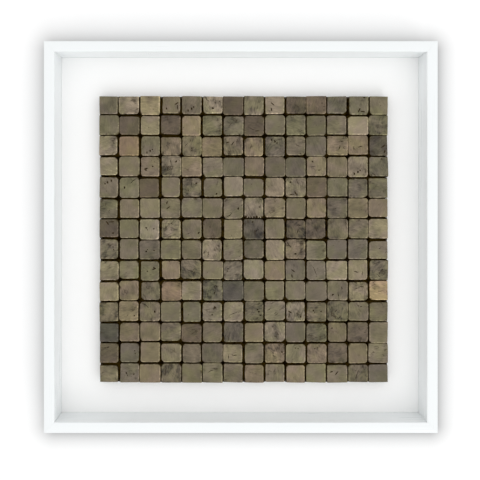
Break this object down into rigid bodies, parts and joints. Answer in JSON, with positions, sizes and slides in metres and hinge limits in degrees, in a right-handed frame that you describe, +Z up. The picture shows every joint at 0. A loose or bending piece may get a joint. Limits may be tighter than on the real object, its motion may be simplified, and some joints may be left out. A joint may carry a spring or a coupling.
{
  "type": "framed wood block wall panel",
  "caption": "Wall panel: a square sheet of small weathered wood blocks, set deep in a white box frame with a rear hanging cleat.",
  "frame": {"origin": "middle of the hanging cleat's rear face, which rests against the wall", "axes": "+Z up, front of the panel towards -Y, wall towards +Y, +X to the right as seen from the front"},
  "size_m": [0.406, 0.0423, 0.404],
  "materials": {
    "white_paint": "satin white paint on smooth wood",
    "white_board": "matt white face on thin fibreboard",
    "plain_pine": "planed, unfinished",
    "dark_carrier": "matt, near-black brown",
    "weathered_wood": "tumbled, weathered grey-brown, worn pale on the rims"
  },
  "bodies": {
    "root": {"frame_rail_top": "white_paint", "frame_rail_bottom": "white_paint", "frame_rail_left": "white_paint", "frame_rail_right": "white_paint", "backing_board": "white_board", "hanging_cleat": "plain_pine", "bottom_batten": "plain_pine", "left_batten": "plain_pine", "right_batten": "plain_pine", "carrier_sheet": "dark_carrier", "block_row_01": "weathered_wood", "block_row_02": "weathered_wood", "block_row_03": "weathered_wood", "block_row_04": "weathered_wood", "block_row_05": "weathered_wood", "block_row_06": "weathered_wood", "block_row_07": "weathered_wood", "block_row_08": "weathered_wood", "block_row_09": "weathered_wood", "block_row_10": "weathered_wood", "block_row_11": "weathered_wood", "block_row_12": "weathered_wood", "block_row_13": "weathered_wood", "block_row_14": "weathered_wood"}
  },
  "joints": []
}
